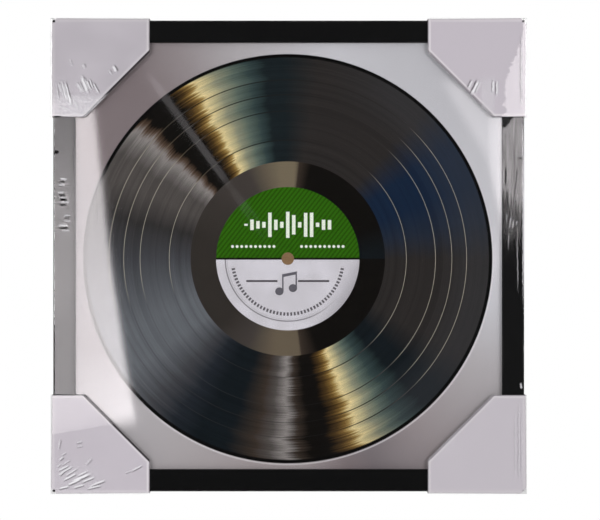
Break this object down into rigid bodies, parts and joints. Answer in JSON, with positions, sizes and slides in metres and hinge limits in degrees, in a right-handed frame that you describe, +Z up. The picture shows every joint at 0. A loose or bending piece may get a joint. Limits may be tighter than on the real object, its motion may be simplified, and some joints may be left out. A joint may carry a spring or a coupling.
{
  "type": "vinyl record frame",
  "caption": "Square black wall frame for a record sleeve: glazing over a printed record insert, a board held by turn buttons, a sawtooth hanger and folded card corner protectors.",
  "frame": {"origin": "the middle notch of the sawtooth hanger, where the wall's nail carries the frame, on the wall's plane", "axes": "+Y into the wall and -Y out of the frame's front, +Z up, +X to the right of someone who faces the front"},
  "size_m": [0.3498, 0.019, 0.3498],
  "materials": {
    "moulding": "smooth black foil wrapped over fibreboard moulding, satin",
    "glazing": "clear sheet",
    "insert": "printed card with a black record on pale grey",
    "filler": "plain corrugated board",
    "backboard": "brown hardboard",
    "hardware": "zinc-plated steel",
    "hanger": "brass-plated steel",
    "card": "white card under clear film"
  },
  "bodies": {
    "frame": {"rail_top": "moulding", "rail_bottom": "moulding", "rail_left": "moulding", "rail_right": "moulding", "glazing": "glazing", "insert_card": "insert", "filler_board": "filler", "backboard": "backboard", "mitre_nail_top_left": "hardware", "mitre_nail_top_right": "hardware", "mitre_nail_bottom_left": "hardware", "mitre_nail_bottom_right": "hardware", "button_screw_top_left": "hardware", "button_screw_top_right": "hardware", "button_screw_right_upper": "hardware", "button_screw_right_lower": "hardware", "button_screw_bottom_right": "hardware", "button_screw_bottom_left": "hardware", "button_screw_left_lower": "hardware", "button_screw_left_upper": "hardware", "sawtooth_hanger": "hanger", "hanger_nail_left": "hanger", "hanger_nail_right": "hanger"},
    "turn_button_top_left": {"turn_button_top_left": "hardware"},
    "turn_button_top_right": {"turn_button_top_right": "hardware"},
    "turn_button_right_upper": {"turn_button_right_upper": "hardware"},
    "turn_button_right_lower": {"turn_button_right_lower": "hardware"},
    "turn_button_bottom_right": {"turn_button_bottom_right": "hardware"},
    "turn_button_bottom_left": {"turn_button_bottom_left": "hardware"},
    "turn_button_left_lower": {"turn_button_left_lower": "hardware"},
    "turn_button_left_upper": {"turn_button_left_upper": "hardware"},
    "corner_protector_top_left": {"corner_protector_top_left": "card"},
    "corner_protector_top_right": {"corner_protector_top_right": "card"},
    "corner_protector_bottom_left": {"corner_protector_bottom_left": "card"},
    "corner_protector_bottom_right": {"corner_protector_bottom_right": "card"}
  },
  "joints": [
    {"name": "turn_top_left", "type": "hinge", "parent": "frame", "child": "turn_button_top_left", "pos_m": [-0.06135, -0.0027, 0.003], "axis": [0, 1, 0], "continuous": true},
    {"name": "turn_top_right", "type": "hinge", "parent": "frame", "child": "turn_button_top_right", "pos_m": [0.06135, -0.0027, 0.003], "axis": [0, 1, 0], "continuous": true},
    {"name": "turn_right_upper", "type": "hinge", "parent": "frame", "child": "turn_button_right_upper", "pos_m": [0.1669, -0.0027, -0.10255], "axis": [0, 1, 0], "continuous": true},
    {"name": "turn_right_lower", "type": "hinge", "parent": "frame", "child": "turn_button_right_lower", "pos_m": [0.1669, -0.0027, -0.22525], "axis": [0, 1, 0], "continuous": true},
    {"name": "turn_bottom_right", "type": "hinge", "parent": "frame", "child": "turn_button_bottom_right", "pos_m": [0.06135, -0.0027, -0.3308], "axis": [0, 1, 0], "continuous": true},
    {"name": "turn_bottom_left", "type": "hinge", "parent": "frame", "child": "turn_button_bottom_left", "pos_m": [-0.06135, -0.0027, -0.3308], "axis": [0, 1, 0], "continuous": true},
    {"name": "turn_left_lower", "type": "hinge", "parent": "frame", "child": "turn_button_left_lower", "pos_m": [-0.1669, -0.0027, -0.22525], "axis": [0, 1, 0], "continuous": true},
    {"name": "turn_left_upper", "type": "hinge", "parent": "frame", "child": "turn_button_left_upper", "pos_m": [-0.1669, -0.0027, -0.10255], "axis": [0, 1, 0], "continuous": true},
    {"name": "slide_off_top_left", "type": "slide", "parent": "frame", "child": "corner_protector_top_left", "axis": [-0.7071, 0, 0.7071], "range_m": [0, 0.105]},
    {"name": "slide_off_top_right", "type": "slide", "parent": "frame", "child": "corner_protector_top_right", "axis": [0.7071, 0, 0.7071], "range_m": [0, 0.105]},
    {"name": "slide_off_bottom_left", "type": "slide", "parent": "frame", "child": "corner_protector_bottom_left", "axis": [-0.7071, 0, -0.7071], "range_m": [0, 0.105]},
    {"name": "slide_off_bottom_right", "type": "slide", "parent": "frame", "child": "corner_protector_bottom_right", "axis": [0.7071, 0, -0.7071], "range_m": [0, 0.105]}
  ]
}
